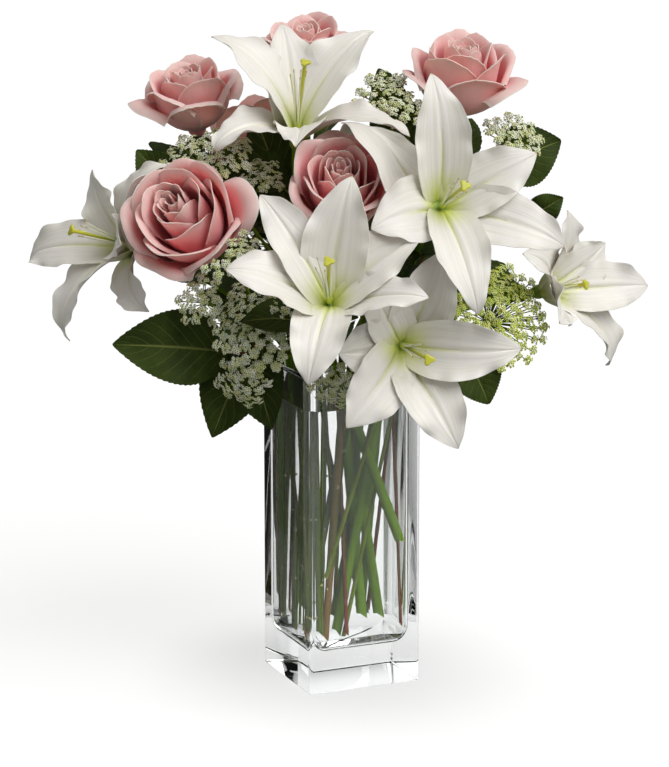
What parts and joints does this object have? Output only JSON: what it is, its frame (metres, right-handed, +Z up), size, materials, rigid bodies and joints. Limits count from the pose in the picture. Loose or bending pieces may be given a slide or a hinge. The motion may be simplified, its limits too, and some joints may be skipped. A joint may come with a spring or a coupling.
{
  "type": "flowers in a vase",
  "caption": "Pale pink roses, white lilies, green-white lace flowers and toothed dark leaves, loosely arranged in a tall square clear glass vase of water with a thick base.",
  "frame": {"origin": "the middle of the vase's flat underside", "axes": "X and Y along the vase's sides, Z up; the bouquet's front looks towards -X -Y, turned about 24 degrees from -Y"},
  "size_m": [0.43, 0.3257, 0.4981],
  "materials": {
    "glass": "clear, polished",
    "water": "clear",
    "lily_white": "satin petal",
    "lily_heart": "satin",
    "lily_green": "satin stem",
    "rose_pink": "velvety petal",
    "rose_green": "satin stem",
    "lace_white": "matt florets on thin stalks",
    "leaf_green": "leathery leaf on a twig"
  },
  "bodies": {
    "root": {"lace_back": "lace_white", "lace_drooping": "lace_white", "lace_front": "lace_white", "lace_left": "lace_white", "lace_low_right": "lace_white", "lace_right": "lace_white", "lace_top": "lace_white", "lily_back": "lily_white", "lily_back_heart": "lily_heart", "lily_back_stem": "lily_green", "lily_centre": "lily_white", "lily_centre_heart": "lily_heart", "lily_centre_stem": "lily_green", "lily_far_right": "lily_white", "lily_far_right_heart": "lily_heart", "lily_far_right_stem": "lily_green", "lily_left": "lily_white", "lily_left_heart": "lily_heart", "lily_left_stem": "lily_green", "lily_low": "lily_white", "lily_low_heart": "lily_heart", "lily_low_stem": "lily_green", "lily_right": "lily_white", "lily_right_heart": "lily_heart", "lily_right_stem": "lily_green", "lily_top": "lily_white", "lily_top_heart": "lily_heart", "lily_top_stem": "lily_green", "rose_back": "rose_pink", "rose_back_stem": "rose_green", "rose_centre": "rose_pink", "rose_centre_stem": "rose_green", "rose_left": "rose_pink", "rose_left_stem": "rose_green", "rose_top": "rose_pink", "rose_top_left": "rose_pink", "rose_top_left_stem": "rose_green", "rose_top_right": "rose_pink", "rose_top_right_stem": "rose_green", "rose_top_stem": "rose_green", "sprig_back": "leaf_green", "sprig_left": "leaf_green", "sprig_low": "leaf_green", "sprig_right": "leaf_green", "sprig_top_left": "leaf_green", "vase": "glass", "water": "water"}
  },
  "joints": []
}
